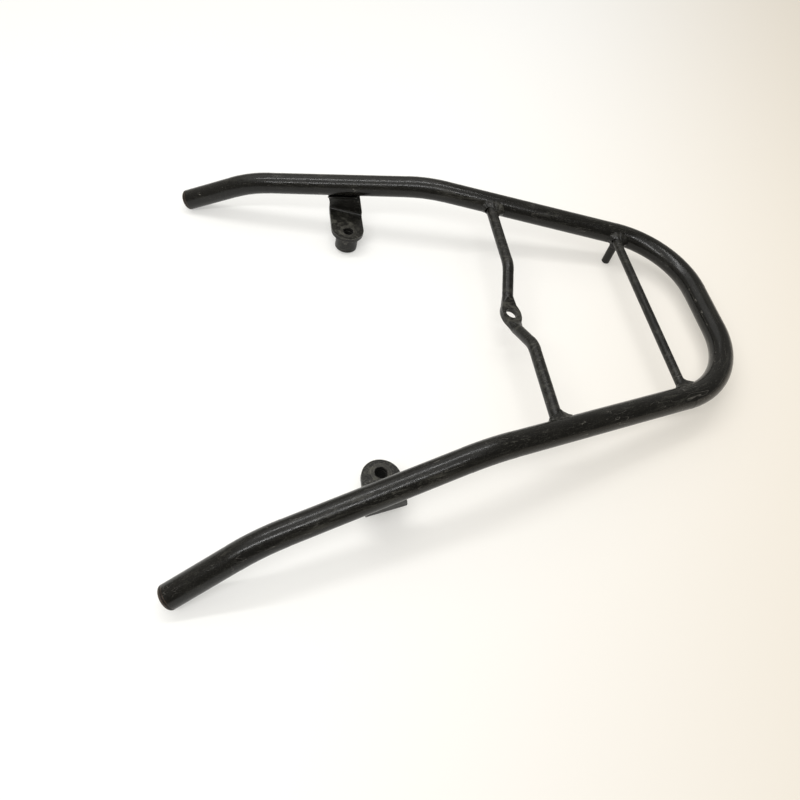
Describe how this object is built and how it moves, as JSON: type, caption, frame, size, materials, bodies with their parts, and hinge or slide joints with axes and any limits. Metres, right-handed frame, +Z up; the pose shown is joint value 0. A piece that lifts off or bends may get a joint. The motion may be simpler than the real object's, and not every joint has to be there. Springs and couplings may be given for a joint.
{
  "type": "motorcycle luggage rack",
  "caption": "Tail luggage rack: a bent steel tube loop with long dropped arms, cross rods, a bolt eye, folded mounting brackets with spacer bosses, and a strap pin.",
  "frame": {"origin": "on the surface that the rack stands on, under the middle of its box", "axes": "+X to the rear of the vehicle, +Y to the rider's right, +Z up from the surface on which the rack stands on its two arm tips and its pin"},
  "size_m": [0.4942, 0.4492, 0.0681],
  "materials": {
    "tube_paint": "worn satin black paint with scuffs and fine scratches",
    "rod_paint": "worn satin black paint",
    "bracket_paint": "satin black paint, rubbed round the bolt bore",
    "cap_plastic": "dull black plastic",
    "weld_paint": "painted rippled weld bead"
  },
  "bodies": {
    "root": {"rack_tube": "tube_paint", "front_cross_rod": "rod_paint", "rear_cross_rod": "rod_paint", "hook_pin": "rod_paint", "bracket_left": "bracket_paint", "bracket_right": "bracket_paint", "boss_left": "bracket_paint", "boss_right": "bracket_paint", "end_cap_left": "cap_plastic", "end_cap_right": "cap_plastic", "weld_front_left": "weld_paint", "weld_front_right": "weld_paint", "weld_rear_left": "weld_paint", "weld_rear_right": "weld_paint", "weld_pin": "weld_paint", "weld_bracket_left": "weld_paint", "weld_bracket_right": "weld_paint", "weld_boss_left": "weld_paint", "weld_boss_right": "weld_paint"}
  },
  "joints": []
}
